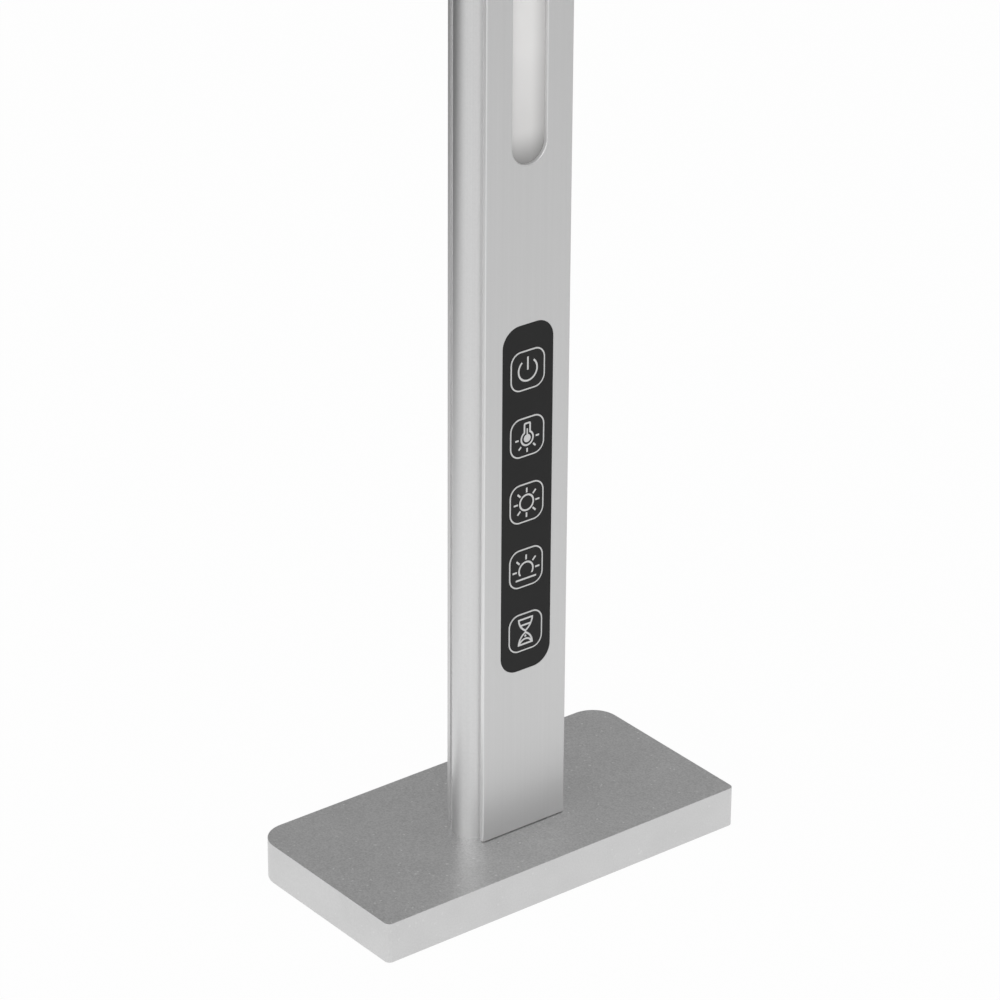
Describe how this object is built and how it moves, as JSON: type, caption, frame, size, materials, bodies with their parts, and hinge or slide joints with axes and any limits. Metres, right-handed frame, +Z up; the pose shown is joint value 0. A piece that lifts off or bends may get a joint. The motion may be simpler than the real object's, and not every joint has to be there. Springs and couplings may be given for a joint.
{
  "type": "desk arch nail lamp",
  "caption": "Table arch lamp: one bent aluminium arch on two base plates, a light strip in its inner face and a column of push keys on the left leg.",
  "frame": {"origin": "on the table, under the middle of the lamp: the bottom centre of its bounding box", "axes": "+X from the leg with the keys to the other leg, +Y from front to back, +Z up"},
  "size_m": [0.814, 0.15, 0.47],
  "materials": {
    "plate_paint": "silver powder coat, fine sparkle",
    "pad_rubber": "matte",
    "screw_steel": "zinc plated",
    "profile_aluminium": "satin anodised",
    "cover_aluminium": "satin anodised",
    "diffuser_white": "opal, satin",
    "strip_white": "solder resist",
    "warm_phosphor": "matte",
    "cool_phosphor": "matte",
    "chip_black": "moulded",
    "panel_black": "fine matte",
    "key_black": "fine matte",
    "legend_grey": "satin",
    "board_green": "solder resist",
    "board_blue": "solder resist",
    "ferrite_grey": "ferrite",
    "can_aluminium": "drawn",
    "plug_cream": "moulded",
    "spacer_nylon": "nylon",
    "jack_black": "moulded",
    "nut_steel": "nickel plated",
    "wire_red": "vinyl",
    "wire_grey": "vinyl",
    "wire_white": "vinyl"
  },
  "bodies": {
    "stand": {"left_base_plate": "plate_paint", "right_base_plate": "plate_paint", "left_foot_pad": "pad_rubber", "right_foot_pad": "pad_rubber", "left_base_screws": "screw_steel", "right_base_screws": "screw_steel", "arch_profile": "profile_aluminium", "cover_strip": "cover_aluminium", "diffuser": "diffuser_white", "led_strip": "strip_white", "warm_leds": "warm_phosphor", "cool_leds": "cool_phosphor", "strip_resistors": "chip_black", "key_panel": "panel_black", "key_board": "board_green", "key_switches": "chip_black", "key_board_parts": "chip_black", "key_board_screws": "screw_steel", "driver_board": "board_blue", "driver_inductor": "ferrite_grey", "driver_capacitors": "can_aluminium", "driver_chips": "chip_black", "driver_connectors": "plug_cream", "driver_spacers": "spacer_nylon", "driver_screws": "screw_steel", "power_jack": "jack_black", "jack_nut": "nut_steel", "power_lead": "wire_red", "keypad_lead": "wire_grey", "strip_lead": "wire_white"},
    "power_button": {"power_key": "key_black", "power_legend": "legend_grey"},
    "temperature_button": {"temperature_key": "key_black", "temperature_legend": "legend_grey"},
    "brightness_button": {"brightness_key": "key_black", "brightness_legend": "legend_grey"},
    "night_button": {"night_key": "key_black", "night_legend": "legend_grey"},
    "timer_button": {"timer_key": "key_black", "timer_legend": "legend_grey"}
  },
  "joints": [
    {"name": "power_press", "type": "slide", "parent": "stand", "child": "power_button", "axis": [-1, 0, 0], "range_m": [0, 0.0004], "stiffness_N_per_m": 3000},
    {"name": "temperature_press", "type": "slide", "parent": "stand", "child": "temperature_button", "axis": [-1, 0, 0], "range_m": [0, 0.0004], "stiffness_N_per_m": 3000},
    {"name": "brightness_press", "type": "slide", "parent": "stand", "child": "brightness_button", "axis": [-1, 0, 0], "range_m": [0, 0.0004], "stiffness_N_per_m": 3000},
    {"name": "night_press", "type": "slide", "parent": "stand", "child": "night_button", "axis": [-1, 0, 0], "range_m": [0, 0.0004], "stiffness_N_per_m": 3000},
    {"name": "timer_press", "type": "slide", "parent": "stand", "child": "timer_button", "axis": [-1, 0, 0], "range_m": [0, 0.0004], "stiffness_N_per_m": 3000}
  ]
}
